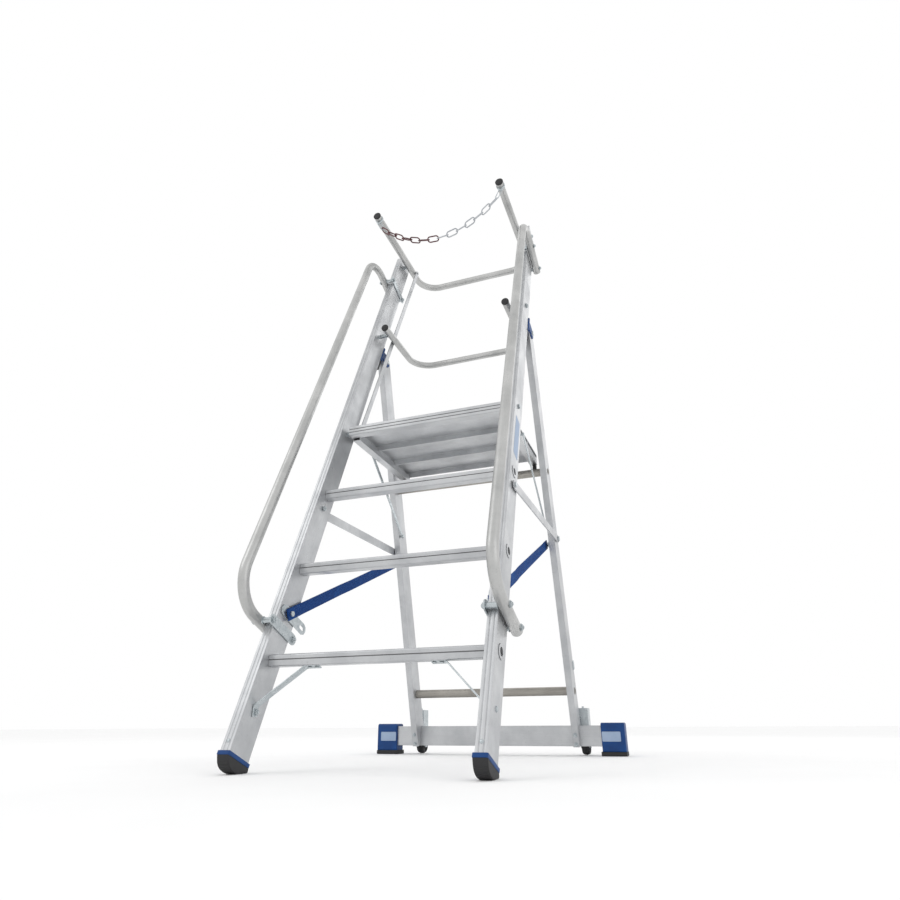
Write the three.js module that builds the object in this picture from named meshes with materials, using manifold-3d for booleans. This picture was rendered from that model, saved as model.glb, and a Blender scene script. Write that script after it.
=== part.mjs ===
// Rolling warehouse ladder: a folding platform ladder with a guard rail, hand rails and a castor bar.
// Millimetres, +X to the climber's right, +Y away from the climber, +Z up.
// The model is drawn from the line where the stiles' front faces meet the floor, midway between them.
// It is then moved forward by MIDDLE, so that its origin lies on the floor under its middle.
import * as THREE from 'three';
import { mergeVertices } from 'three/addons/utils/BufferGeometryUtils.js';
import Module from 'manifold-3d';

const wasm = await Module();
wasm.setup();

// ---------------------------------------------------------------- driving dimensions
const LEAN = THREE.MathUtils.degToRad(22.44); // stiles lean back from the vertical
const REAR_LEAN = THREE.MathUtils.degToRad(16.67); // rear legs lean the other way
const GAP = 0.3; // air between pieces that touch
const MIDDLE = 617.25; // half way between the shoes' toes and the castor wheels' backs

const STILE = { outer: 298, width: 25, depth: 76, wall: 2.2, bottom: 38, top: 2166 };
const INNER = STILE.outer - STILE.width; // inner face of a stile
const SHOE_TOP = 52; // top edge of the front shoes, along the stile
const RUNG_FIRST = 275; // distances along the stile
const RUNG_PITCH = 263.5;
const RUNG = { depth: 32, height: 28, inset: 40 };
const PIVOT_INSET = 36; // depth of the fold pivots behind a stile's front face
const PLATFORM_PIVOT = RUNG_FIRST + 3 * RUNG_PITCH;
const KNEE_PIVOT = 1614;
const TOP_PIVOT = 2138;
const STRUT_OFFSET = 54; // strut pivots lie this far behind the fold pivots

const HANDRAIL = { x: 313, radius: 14, front: -127, rear: 104, bottom: 358, top: 1955, bend: 95 };
const CLAMP_BOLTS = [-11, 87];
const TOP_BOW = { half: 251, radius: 14, front: 528, rear: 1032, bend: 84 };
const KNEE_BOW = { half: 234, radius: 12.5, front: 602, rear: 916, bend: 84 };

const PLATFORM = { half: 259, front: 421, rear: 866, top: 989, profile: 32, plank: 22, rail: 25 };
const PLANKS = 3;

const LEG = { outer: 298, width: 22, depth: 66, wall: 2, foot: 24 };
const LEG_INNER = LEG.outer - LEG.width;
const HINGE = { s: 1562, d: 122 }; // rear leg pivot, along and behind the stile
const REAR_RUNG_HEIGHTS = [200, 915.5];
const REAR_RUNG_RADIUS = 14;

const TRAVERSE = { half: 436, front: 1110, depth: 40, bottom: 28.5, height: 64, wall: 2.5 };
const CAP = { inner: 368, outer: 445, margin: 10, bottom: 10, top: 101 };
const CASTOR = { x: 303, y: 1190, radius: 30, width: 25, lift: 0.5, housingTop: 148 };

const STAY = { pin: 752, inset: 38, height: 26, thickness: 4, studY: 925, studZ: 690 };
const LINK = { legY: 885, legZ: 745, deckY: 618.5, deckZ: 962, x: 268.5 };
const STRAP = { s: 403, d: 39, rearY: 920, rearZ: 671, knee: 300, width: 30, thickness: 2.4, x: 266 };
const TONGUE = { near: 20, end: 114, slot: 102, half: 15 };
const CHAIN = { half: 240, y: 545, hang: 1912, sag: 122, radius: 9 };

const PIN = 4; // small pivot pins
const ROUND = 8; // facets of a pin
const TUBE_ROUND = 12; // facets of a tube
const ARC = 2; // detail of a rounded corner

// ---------------------------------------------------------------- materials
const finish = (color, roughness, metalness) => () =>
  new THREE.MeshStandardMaterial({ color, roughness, metalness });
const aluminium = finish(0xc3c6c8, 0.42, 0.9);
const wornAluminium = finish(0xa9a59e, 0.5, 0.8);
const galvanised = finish(0x9fa9ae, 0.38, 0.9);
const blackRubber = finish(0x17181a, 0.8, 0);
const bluePlastic = finish(0x1d4a8f, 0.45, 0);
const blueWebbing = finish(0x1f4f9c, 0.85, 0);
const redPlastic = finish(0x5c1420, 0.45, 0);
const whitePlastic = finish(0xdfe1e2, 0.45, 0);

// ---------------------------------------------------------------- solids
function solid(geometry) {
  const bare = geometry.index ? geometry.toNonIndexed() : geometry.clone();
  for (const name of ['normal', 'uv']) bare.deleteAttribute(name);
  const merged = mergeVertices(bare, 1e-4);
  const mesh = new wasm.Mesh({
    numProp: 3,
    vertProperties: new Float32Array(merged.attributes.position.array),
    triVerts: new Uint32Array(merged.index.array),
  });
  mesh.merge();
  return new wasm.Manifold(mesh);
}

const join = (first, ...others) => others.reduce((sum, other) => sum.add(other), first);
const cut = (first, ...others) => others.reduce((rest, other) => rest.subtract(other), first);

function piece(name, body, material) {
  const mesh = body.getMesh();
  const geometry = new THREE.BufferGeometry();
  geometry.setAttribute('position', new THREE.BufferAttribute(new Float32Array(mesh.vertProperties), 3));
  geometry.setIndex(new THREE.BufferAttribute(new Uint32Array(mesh.triVerts), 1));
  const result = new THREE.Mesh(geometry, material());
  result.name = name;
  return result;
}

function box(x, y, z) {
  const geometry = new THREE.BoxGeometry(x[1] - x[0], y[1] - y[0], z[1] - z[0]);
  geometry.translate((x[0] + x[1]) / 2, (y[0] + y[1]) / 2, (z[0] + z[1]) / 2);
  return solid(geometry);
}

// A shape drawn in Y and Z, extruded between two X values.
function alongX(shape, x, bevel = 0, detail = ARC) {
  const geometry = new THREE.ExtrudeGeometry(shape, {
    depth: x[1] - x[0] - 2 * bevel,
    bevelEnabled: bevel > 0,
    bevelThickness: bevel,
    bevelSize: bevel,
    bevelOffset: -bevel,
    bevelSegments: 1,
    curveSegments: detail,
  });
  const turn = new THREE.Matrix4().makeBasis(
    new THREE.Vector3(0, 1, 0),
    new THREE.Vector3(0, 0, 1),
    new THREE.Vector3(1, 0, 0),
  );
  geometry.applyMatrix4(turn);
  geometry.translate(x[0] + bevel, 0, 0);
  return solid(geometry);
}

// A round bar between two points.
function bar(from, to, radius, facets = ROUND) {
  const start = new THREE.Vector3(...from);
  const run = new THREE.Vector3(...to).sub(start);
  const geometry = new THREE.CylinderGeometry(radius, radius, run.length(), facets);
  geometry.translate(0, run.length() / 2, 0);
  const turn = new THREE.Quaternion().setFromUnitVectors(new THREE.Vector3(0, 1, 0), run.clone().normalize());
  geometry.applyQuaternion(turn);
  geometry.translate(...from);
  return solid(geometry);
}

const pinAlongX = (x, y, z, radius, facets = ROUND) => bar([x[0], y, z], [x[1], y, z], radius, facets);

// Straight runs joined by round bends, sampled only where the direction changes.
class BentPath extends THREE.Curve {
  constructor(corners, bend, steps = 6) {
    super();
    this.samples = [];
    const last = corners.length - 1;
    corners.forEach((corner, i) => {
      if (i === 0 || i === last) {
        const away = i === 0 ? corners[1].clone().sub(corner) : corner.clone().sub(corners[last - 1]);
        this.samples.push({ point: corner, tangent: away.normalize() });
        return;
      }
      const into = corner.clone().sub(corners[i - 1]).normalize();
      const out = corners[i + 1].clone().sub(corner).normalize();
      const turn = into.angleTo(out);
      const reach = bend * Math.tan(turn / 2);
      const inward = out.clone().addScaledVector(into, -into.dot(out)).normalize();
      const start = corner.clone().addScaledVector(into, -reach);
      const centre = start.clone().addScaledVector(inward, bend);
      for (let k = 0; k <= steps; k += 1) {
        const angle = (turn * k) / steps;
        this.samples.push({
          point: centre.clone()
            .addScaledVector(inward, -bend * Math.cos(angle))
            .addScaledVector(into, bend * Math.sin(angle)),
          tangent: into.clone().multiplyScalar(Math.cos(angle)).addScaledVector(inward, Math.sin(angle)),
        });
      }
    });
    this.steps = this.samples.length - 1;
  }

  getUtoTmapping(u) {
    return u;
  }

  getPoint(t, target = new THREE.Vector3()) {
    return target.copy(this.samples[Math.round(t * this.steps)].point);
  }

  getTangent(t, target = new THREE.Vector3()) {
    return target.copy(this.samples[Math.round(t * this.steps)].tangent);
  }
}

function circle(radius) {
  const shape = new THREE.Shape();
  shape.absarc(0, 0, radius, 0, 2 * Math.PI);
  return shape;
}

function tube(corners, radius, bend) {
  const path = new BentPath(corners.map((corner) => new THREE.Vector3(...corner)), bend);
  return solid(new THREE.ExtrudeGeometry(circle(radius), {
    extrudePath: path,
    steps: path.steps,
    curveSegments: TUBE_ROUND / 2,
  }));
}

function roundedRectangle(low, high, radius) {
  const shape = new THREE.Shape();
  shape.absarc(high[0] - radius, low[1] + radius, radius, -Math.PI / 2, 0);
  shape.absarc(high[0] - radius, high[1] - radius, radius, 0, Math.PI / 2);
  shape.absarc(low[0] + radius, high[1] - radius, radius, Math.PI / 2, Math.PI);
  shape.absarc(low[0] + radius, low[1] + radius, radius, Math.PI, 1.5 * Math.PI);
  return shape;
}

function polygon(points) {
  return new THREE.Shape(points.map(([a, b]) => new THREE.Vector2(a, b)));
}

// A strip with round ends between two points, seen in the Y-Z plane.
function strip(from, to, half) {
  const along = Math.atan2(to[1] - from[1], to[0] - from[0]);
  const shape = new THREE.Shape();
  shape.absarc(from[0], from[1], half, along + Math.PI / 2, along + 1.5 * Math.PI);
  shape.absarc(to[0], to[1], half, along - Math.PI / 2, along + Math.PI / 2);
  return shape;
}

const span = (side, near, far) => (side > 0 ? [near, far] : [-far, -near]);
const sideName = (side) => (side > 0 ? 'right' : 'left');
const SIDES = [-1, 1];

// ---------------------------------------------------------------- frames of reference
// Front group: X across, Y into the depth of the stiles, Z along them.
const front = new THREE.Group();
front.rotation.x = -LEAN;
const leaning = (s, d) => [
  s * Math.sin(LEAN) + d * Math.cos(LEAN),
  s * Math.cos(LEAN) - d * Math.sin(LEAN),
];

// Rear group: its origin is the leg pivot, Z points up along the legs.
const [HINGE_Y, HINGE_Z] = leaning(HINGE.s, HINGE.d);
const rear = new THREE.Group();
rear.position.set(0, HINGE_Y, HINGE_Z);
rear.rotation.x = REAR_LEAN;
const inRear = (y, z) => [
  (y - HINGE_Y) * Math.cos(REAR_LEAN) + (z - HINGE_Z) * Math.sin(REAR_LEAN),
  -(y - HINGE_Y) * Math.sin(REAR_LEAN) + (z - HINGE_Z) * Math.cos(REAR_LEAN),
];

const ladder = new THREE.Group();
ladder.position.y = -MIDDLE;
ladder.add(front, rear);

// ---------------------------------------------------------------- front frame
const rungPlaces = [0, 1, 2].map((i) => RUNG_FIRST + i * RUNG_PITCH);
const rungNeck = { depth: 28, height: 24, rim: 6 };

function neck(x, y, z, margin) {
  const ellipse = new THREE.Shape();
  ellipse.absellipse(0, 0, rungNeck.depth / 2 + margin, rungNeck.height / 2 + margin, 0, 2 * Math.PI);
  return alongX(ellipse, x, 0, TUBE_ROUND / 2).translate([0, y, z]);
}

function stile(side) {
  const { outer, width, depth, wall, bottom, top } = STILE;
  const low = side > 0 ? INNER : -outer;
  const grooveDepth = 1.2;
  const grooveHalf = 0.9;
  const section = new THREE.Shape();
  section.moveTo(low, 0);
  for (const at of [width * 0.3, width * 0.7]) {
    section.lineTo(low + at - grooveHalf, 0);
    section.lineTo(low + at - grooveHalf, grooveDepth);
    section.lineTo(low + at + grooveHalf, grooveDepth);
    section.lineTo(low + at + grooveHalf, 0);
  }
  section.lineTo(low + width, 0);
  section.lineTo(low + width, depth);
  section.lineTo(low, depth);
  section.holes.push(polygon([
    [low + wall, wall + grooveDepth],
    [low + wall, depth - wall],
    [low + width - wall, depth - wall],
    [low + width - wall, wall + grooveDepth],
  ]));
  const geometry = new THREE.ExtrudeGeometry(section, { depth: top - bottom, bevelEnabled: false });
  geometry.translate(0, 0, bottom);
  const through = [low - 1, low + width + 1];
  const holes = rungPlaces.map((s) => neck(through, 0, 0, 0.4).rotate([22.44, 0, 0]).translate([0, RUNG.inset, s]));
  for (const s of [PLATFORM_PIVOT, KNEE_PIVOT, TOP_PIVOT]) {
    holes.push(pinAlongX(through, PIVOT_INSET, s, PIN + 0.4));
  }
  holes.push(pinAlongX(through, STAY.inset, STAY.pin, PIN + 0.4));
  return cut(solid(geometry), ...holes);
}

function rung(s) {
  const [y, z] = leaning(s, RUNG.inset);
  const low = [y - RUNG.depth / 2, z - RUNG.height / 2];
  const high = [y + RUNG.depth / 2, z + RUNG.height / 2];
  const tread = alongX(roundedRectangle(low, high, 4), [-INNER + GAP, INNER - GAP]);
  const groove = box([-INNER, INNER], [low[0] - 1, low[0] + 1.2], [z + 1, z + 3]);
  const necks = neck([-STILE.outer - 1.5, STILE.outer + 1.5], y, z, 0);
  const rims = SIDES.map((side) => neck(span(side, STILE.outer + GAP, STILE.outer + 1.8), y, z, rungNeck.rim));
  const bore = neck([-STILE.outer - 3, STILE.outer + 3], y, z, -2);
  return cut(join(tread, necks, ...rims), groove, bore);
}

function shoe(side) {
  const x = span(side, INNER - 3, STILE.outer + 3);
  const outline = new THREE.Shape();
  const [topY, topZ] = leaning(SHOE_TOP, -3.5);
  const [rearY, rearZ] = leaning(SHOE_TOP, STILE.depth + 3);
  outline.moveTo(topY, topZ);
  outline.lineTo(16, 27);
  outline.quadraticCurveTo(20, 8, 52, 0);
  outline.lineTo(88, 0);
  outline.lineTo(rearY, rearZ);
  outline.closePath();
  const socket = box(span(side, INNER - GAP, STILE.outer + GAP), [-GAP, STILE.depth + GAP],
    [STILE.bottom - GAP, 200]).rotate([-22.44, 0, 0]);
  return cut(alongX(outline, x, 1.5), socket);
}

function handrail(side) {
  const { x, radius, front: near, rear: far, bottom, top, bend } = HANDRAIL;
  const at = side * x;
  const body = tube([[at, far, bottom], [at, near, bottom], [at, near, top], [at, far, top]], radius, bend);
  const holes = [bottom, top].flatMap((s) => CLAMP_BOLTS.map((d) => (
    pinAlongX(span(side, x - 20, x + 20), d, s, PIN + 0.4)
  )));
  return cut(body, ...holes);
}

// Inner clamp plate with the two bolts that carry one end of a hand rail past the stile.
function clamp(side, s) {
  const plateX = span(side, INNER - 3.5, INNER - GAP);
  const plate = alongX(strip([CLAMP_BOLTS[0], s], [CLAMP_BOLTS[1], s], 14), plateX);
  const outside = HANDRAIL.x + HANDRAIL.radius;
  const parts = CLAMP_BOLTS.flatMap((d) => [
    pinAlongX(span(side, INNER - 9, outside + 2), d, s, PIN),
    pinAlongX(span(side, INNER - 1, HANDRAIL.x - HANDRAIL.radius - GAP), d, s, 7),
    pinAlongX(span(side, INNER - 9, INNER - 3), d, s, 7.5, 6),
    pinAlongX(span(side, outside + GAP, outside + 5.5), d, s, 7.5, 6),
  ]);
  return join(plate, ...parts);
}

function brace(side) {
  const [y, z] = leaning(151, 38);
  const [rungY, rungZ] = leaning(RUNG_FIRST, RUNG.inset);
  const under = rungZ - RUNG.height / 2 - GAP;
  const lower = [side * (INNER - 8), y + 4, z + 8];
  const upper = [side * 164, rungY - 4, under - 6];
  return join(
    bar(lower, upper, 6),
    alongX(strip([y, z], [lower[1], lower[2]], 11), span(side, INNER - 14, INNER - GAP)),
    box(span(side, 142, 182), [rungY - 13, rungY + 11], [under - 4, under]),
    bar([side * 168, rungY - 2, under - 9], [side * 168, rungY - 2, under], 9),
    pinAlongX(span(side, INNER - 18, INNER - 12), y, z, 7.5, 6),
  );
}

// Plate that holds the strap's bolt. Its slotted tongue latches onto the rear leg's clip when the ladder is folded.
function strapBracket(side) {
  const { near, end, slot, half } = TONGUE;
  const plate = alongX(strip([near, STRAP.s], [end, STRAP.s], half), span(side, INNER - 3.3, INNER - GAP));
  const window = alongX(strip([slot, STRAP.s], [end, STRAP.s], 5), span(side, INNER - 6, INNER + 2));
  return join(
    cut(plate, window),
    pinAlongX(span(side, STRAP.x - 7, INNER - 2), STRAP.d, STRAP.s, PIN),
    pinAlongX(span(side, STRAP.x - 9, STRAP.x - 4), STRAP.d, STRAP.s, 7.5, 6),
    pinAlongX(span(side, INNER - 5.2, INNER - 3), near - 3, STRAP.s, 6, 6),
  );
}

function hingeBracket(side) {
  const back = STILE.depth + GAP;
  const base = box(span(side, INNER - 2, STILE.outer + 4), [back, back + 9], [HINGE.s - 38, HINGE.s + 34]);
  const buffer = box(span(side, INNER, STILE.outer), [back, back + 9], [HINGE.s - 92, HINGE.s - 37]);
  const cheek = (x) => alongX(strip([back + 21, HINGE.s], [HINGE.d, HINGE.s], 20), x);
  const inner = cheek(span(side, INNER - 2, LEG_INNER - 0.5));
  const outer = cheek(span(side, LEG.outer + 0.5, LEG.outer + 4));
  const pivot = pinAlongX(span(side, INNER - 7, LEG.outer + 9), HINGE.d, HINGE.s, PIN + 1);
  const nuts = [
    pinAlongX(span(side, INNER - 7, INNER - 1), HINGE.d, HINGE.s, 9, 6),
    pinAlongX(span(side, LEG.outer + 3, LEG.outer + 9), HINGE.d, HINGE.s, 9, 6),
  ];
  return join(base, buffer, inner, outer, pivot, ...nuts);
}

for (const side of SIDES) {
  const name = sideName(side);
  front.add(
    piece(`stile_${name}`, stile(side), aluminium),
    piece(`handrail_${name}`, handrail(side), aluminium),
    piece(`handrail_clamp_top_${name}`, clamp(side, HANDRAIL.top), galvanised),
    piece(`handrail_clamp_bottom_${name}`, clamp(side, HANDRAIL.bottom), galvanised),
    piece(`strap_bracket_${name}`, strapBracket(side), galvanised),
    piece(`hinge_bracket_${name}`, hingeBracket(side), bluePlastic),
  );
  ladder.add(
    piece(`front_shoe_${name}`, shoe(side), blackRubber),
    piece(`rung_brace_${name}`, brace(side), galvanised),
  );
}
rungPlaces.forEach((s, i) => ladder.add(piece(`rung_${i + 1}`, rung(s), aluminium)));

// ---------------------------------------------------------------- rear frame
const rearRungs = REAR_RUNG_HEIGHTS.map((z) => {
  const along = -(HINGE_Z - z) / Math.cos(REAR_LEAN);
  return { along, y: HINGE_Y + (HINGE_Z - z) * Math.tan(REAR_LEAN), z };
});
const [studU, studW] = inRear(STAY.studY, STAY.studZ);
const [linkU, linkW] = inRear(LINK.legY, LINK.legZ);
const [strapU, strapW] = inRear(STRAP.rearY, STRAP.rearZ);
const traverseCentre = TRAVERSE.front + TRAVERSE.depth / 2;

// Spring clip on the outer rear corner of a leg, for the latch tongue when the ladder is folded.
function latchClip(side) {
  const rearFace = LEG.depth / 2;
  return box(span(side, LEG.outer - 9, LEG.outer + 3), [rearFace - 14, rearFace + 4], [-1185, -1157]);
}

function leg(side) {
  const x = span(side, LEG_INNER, LEG.outer);
  const half = LEG.depth / 2;
  const foot = -(HINGE_Z - LEG.foot) / Math.cos(REAR_LEAN) + 12;
  const outline = new THREE.Shape();
  outline.absarc(0, 0, half, 0, Math.PI);
  outline.lineTo(-half, foot);
  outline.lineTo(half, foot);
  outline.closePath();
  const hollow = box([x[0] + LEG.wall, x[1] - LEG.wall], [-half + LEG.wall, half - LEG.wall], [foot - 5, -60]);
  const stud = join(
    pinAlongX(span(side, LEG.outer - 3, LEG.outer + 11), studU, studW, PIN + 1),
    pinAlongX(span(side, LEG.outer + 7, LEG.outer + 11), studU, studW, 9),
  );
  const strapStud = pinAlongX(span(side, STRAP.x + 2, LEG_INNER + 2), strapU, strapW, 9);
  const through = [x[0] - 2, x[1] + 2];
  const holes = rearRungs.map(({ along }) => pinAlongX(through, 0, along, 9.4, TUBE_ROUND));
  holes.push(pinAlongX(through, 0, 0, PIN + 1.8), pinAlongX(through, linkU, linkW, PIN + 0.4));
  const notch = box([-500, 500], [TRAVERSE.front - GAP, 1400], [-50, TRAVERSE.bottom + TRAVERSE.height + GAP])
    .translate([0, -HINGE_Y, -HINGE_Z]).rotate([-16.67, 0, 0]);
  return cut(join(cut(alongX(outline, x), hollow), stud, strapStud, latchClip(side)), ...holes, notch);
}

function rearRung({ y, z }) {
  const middle = pinAlongX([-LEG_INNER + GAP, LEG_INNER - GAP], y, z, REAR_RUNG_RADIUS, 16);
  const ends = pinAlongX([-LEG.outer - 1.5, LEG.outer + 1.5], y, z, 9, TUBE_ROUND);
  const rims = SIDES.map((side) => pinAlongX(span(side, LEG.outer + GAP, LEG.outer + 1.8), y, z, 11));
  return cut(join(middle, ends, ...rims), pinAlongX([-LEG.outer - 3, LEG.outer + 3], y, z, 7));
}

function traverse() {
  const { half, front: near, depth, bottom, height, wall } = TRAVERSE;
  const outer = box([-half, half], [near, near + depth], [bottom, bottom + height]);
  const inside = box([-half - 1, half + 1], [near + wall, near + depth - wall], [bottom + wall, bottom + height - wall]);
  return cut(outer, inside);
}

function traverseSocket(side) {
  const { half, front: near, depth, bottom, height } = TRAVERSE;
  return box(span(side, 200, half + GAP), [near - GAP, near + depth + GAP], [bottom - GAP, bottom + height + GAP]);
}

function endCap(side) {
  const { inner, outer, margin, bottom, top } = CAP;
  const near = TRAVERSE.front - margin;
  const outline = roundedRectangle([near, bottom + GAP], [near + TRAVERSE.depth + 2 * margin, top], 6);
  return cut(alongX(outline, span(side, inner, outer), 3), traverseSocket(side));
}

function capSole(side) {
  const { inner, outer, margin, bottom } = CAP;
  const near = TRAVERSE.front - margin - 1;
  const outline = roundedRectangle([near, 0], [near + TRAVERSE.depth + 2 * margin + 2, bottom], 3);
  return alongX(outline, span(side, inner - 4, outer + 1), 2);
}

for (const side of SIDES) {
  const name = sideName(side);
  rear.add(piece(`rear_leg_${name}`, leg(side), aluminium));
  ladder.add(
    piece(`end_cap_${name}`, endCap(side), bluePlastic),
    piece(`cap_sole_${name}`, capSole(side), blackRubber),
  );
}
rearRungs.forEach((place, i) => ladder.add(piece(`rear_rung_${i + 1}`, rearRung(place), wornAluminium)));
ladder.add(piece('traverse', traverse(), aluminium));

// ---------------------------------------------------------------- sprung castors behind the traverse
const wheelZ = CASTOR.radius + CASTOR.lift;
const barRear = TRAVERSE.front + TRAVERSE.depth;

function castorHousing(side) {
  const x = (a, b) => span(side, CASTOR.x + a, CASTOR.x + b);
  const rearFace = CASTOR.y + 8;
  const plate = box(x(-20, 20), [barRear + GAP, barRear + 3.3], [58, CASTOR.housingTop]);
  const cheeks = [x(-20, -17.5), x(17.5, 20)].map((place) => (
    box(place, [barRear + GAP, rearFace], [58, CASTOR.housingTop])
  ));
  const lid = box(x(-20, 20), [barRear + GAP, rearFace], [CASTOR.housingTop - 3, CASTOR.housingTop]);
  const guide = bar([side * CASTOR.x, CASTOR.y - 10, 100], [side * CASTOR.x, CASTOR.y - 10, 160], PIN + 0.5);
  return cut(join(plate, ...cheeks, lid), guide);
}

function castorFork(side) {
  const x = (a, b) => span(side, CASTOR.x + a, CASTOR.x + b);
  const at = side * CASTOR.x;
  const cheek = polygon([
    [CASTOR.y - 28, 92],
    [CASTOR.y - 28, 66],
    [CASTOR.y - 9, 21],
    [CASTOR.y + 9, 21],
    [CASTOR.y + 5, 92],
  ]);
  const cheeks = [x(-17, -14.5), x(14.5, 17)].map((place) => alongX(cheek, place));
  return join(
    box(x(-17, 17), [CASTOR.y - 28, CASTOR.y + 5], [89, 92]),
    ...cheeks,
    bar([at, CASTOR.y - 10, 90], [at, CASTOR.y - 10, 154], PIN),
    pinAlongX(x(-19, 19), CASTOR.y, wheelZ, PIN),
  );
}

function wheel(side) {
  const half = CASTOR.width / 2;
  const bore = PIN + 0.3;
  const outline = [
    [bore, -half], [9, -half], [10, -half + 3], [23, -half + 3], [25, -half],
    [28, -half + 1], [CASTOR.radius, -half + 5], [CASTOR.radius, half - 5], [28, half - 1],
    [25, half], [23, half - 3], [10, half - 3], [9, half], [bore, half], [bore, -half],
  ];
  const geometry = new THREE.LatheGeometry(outline.map(([r, x]) => new THREE.Vector2(r, x)), 20);
  geometry.rotateZ(-Math.PI / 2);
  geometry.translate(side * CASTOR.x, CASTOR.y, wheelZ);
  return solid(geometry);
}

for (const side of SIDES) {
  const name = sideName(side);
  ladder.add(
    piece(`castor_housing_${name}`, castorHousing(side), galvanised),
    piece(`castor_fork_${name}`, castorFork(side), galvanised),
    piece(`castor_wheel_${name}`, wheel(side), blackRubber),
  );
}

// ---------------------------------------------------------------- platform
const [deckPivotY, deckPivotZ] = leaning(PLATFORM_PIVOT, PIVOT_INSET);
const railTop = PLATFORM.top - PLATFORM.plank + 8;
const railBottom = railTop - PLATFORM.rail;
const frontProfileRear = PLATFORM.front + 30;

function frontProfile() {
  const { half, front: near, top, profile } = PLATFORM;
  const bottom = top - profile;
  const outline = roundedRectangle([near, bottom], [frontProfileRear, top], 3);
  const grooves = [0.3, 0.62].map((part) => {
    const z = bottom + profile * part;
    return box([-half - 1, half + 1], [near - 1, near + 1.2], [z, z + 2]);
  });
  return join(cut(alongX(outline, [-half, half]), ...grooves), ...SIDES.map(platformPin));
}

function plank(i) {
  const depth = (PLATFORM.rear - frontProfileRear) / PLANKS;
  const near = frontProfileRear + i * depth + GAP;
  const far = near + depth - 2 * GAP;
  const { top, plank: height, half } = PLATFORM;
  const between = half - 25;
  const whole = box([-half, half], [near, far], [railTop + GAP, top]);
  const skirt = box([-between + GAP, between - GAP], [near, far], [top - height, top]);
  const pocket = box([-half - 1, half + 1], [near + 3, far - 3], [top - height - 1, top - 3.5]);
  return cut(join(whole, skirt), pocket);
}

function sideRail(side) {
  const { half, rear: far } = PLATFORM;
  const body = box(span(side, half - 25, half), [frontProfileRear + GAP, far], [railBottom, railTop]);
  const pocket = box(span(side, half - 22.5, half - 2.5), [frontProfileRear - 5, far + 5], [railBottom + 2.5, railTop - 2.5]);
  return cut(body, pocket);
}

// Hinge pin at one end of the front profile, through the stile.
function platformPin(side) {
  return join(
    pinAlongX(span(side, PLATFORM.half - 30, STILE.outer + 2), deckPivotY, deckPivotZ, PIN),
    pinAlongX(span(side, STILE.outer + GAP, STILE.outer + 5), deckPivotY, deckPivotZ, 8, 6),
    pinAlongX(span(side, PLATFORM.half - 1, INNER - GAP), deckPivotY, deckPivotZ, 8),
  );
}

function restPad(side) {
  const rungTop = rearRungs[1].z + REAR_RUNG_RADIUS;
  const { half, rear: far } = PLATFORM;
  return box(span(side, half - 14, half - 2), [far - 16, far], [rungTop + GAP, railBottom - GAP]);
}

ladder.add(piece('platform_front_profile', frontProfile(), aluminium));
for (let i = 0; i < PLANKS; i += 1) ladder.add(piece(`platform_plank_${i + 1}`, plank(i), aluminium));
for (const side of SIDES) {
  const name = sideName(side);
  ladder.add(
    piece(`platform_rail_${name}`, sideRail(side), aluminium),
    piece(`platform_pad_${name}`, restPad(side), blackRubber),
  );
}

// ---------------------------------------------------------------- guard rails
function bow({ half, radius, front: near, rear: far, bend }, pivotS) {
  const [y, z] = leaning(pivotS, PIVOT_INSET);
  const body = tube([[-half, near, z], [-half, far, z], [half, far, z], [half, near, z]], radius, bend);
  const pins = SIDES.flatMap((side) => [
    pinAlongX(span(side, half, STILE.outer + 2), y, z, PIN),
    pinAlongX(span(side, STILE.outer + GAP, STILE.outer + 5), y, z, 8, 6),
    pinAlongX(span(side, half, INNER - GAP), y, z, 8),
  ]);
  return join(body, ...pins);
}

function bowCap({ half, radius, front: near }, pivotS, side) {
  const z = leaning(pivotS, PIVOT_INSET)[1];
  return bar([side * half, near - GAP, z], [side * half, near - 6, z], radius + 1, 16);
}

// Flat strut that ties the platform, the knee rail and the guard rail together.
function strut(side) {
  const [lowY, lowZ] = leaning(PLATFORM_PIVOT, PIVOT_INSET);
  const [highY, highZ] = leaning(TOP_PIVOT, PIVOT_INSET);
  const low = new THREE.Vector3(side * 264, lowY + STRUT_OFFSET, lowZ);
  const high = new THREE.Vector3(side * 234.5, highY + STRUT_OFFSET, highZ);
  const run = high.clone().sub(low);
  const along = run.clone().normalize();
  const across = new THREE.Vector3().crossVectors(along, new THREE.Vector3(1, 0, 0)).normalize();
  const thick = new THREE.Vector3().crossVectors(along, across);
  const outline = strip([0, 0], [run.length(), 0], 10);
  const geometry = new THREE.ExtrudeGeometry(outline, { depth: 3, bevelEnabled: false, curveSegments: 3 });
  geometry.translate(0, 0, -1.5);
  geometry.applyMatrix4(new THREE.Matrix4().makeBasis(along, across, thick));
  geometry.translate(low.x, low.y, low.z);
  const outward = bar([low.x, low.y, low.z], [side * 269, low.y, low.z], 6, 6);
  const inward = bar([high.x, high.y, high.z], [side * 229, high.y, high.z], 6, 6);
  return join(solid(geometry), outward, inward);
}

ladder.add(
  piece('guard_rail', bow(TOP_BOW, TOP_PIVOT), aluminium),
  piece('knee_rail', bow(KNEE_BOW, KNEE_PIVOT), aluminium),
);
for (const side of SIDES) {
  const name = sideName(side);
  ladder.add(
    piece(`guard_rail_cap_${name}`, bowCap(TOP_BOW, TOP_PIVOT, side), blackRubber),
    piece(`knee_rail_cap_${name}`, bowCap(KNEE_BOW, KNEE_PIVOT, side), blackRubber),
    piece(`rail_strut_${name}`, strut(side), aluminium),
  );
}

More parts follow.
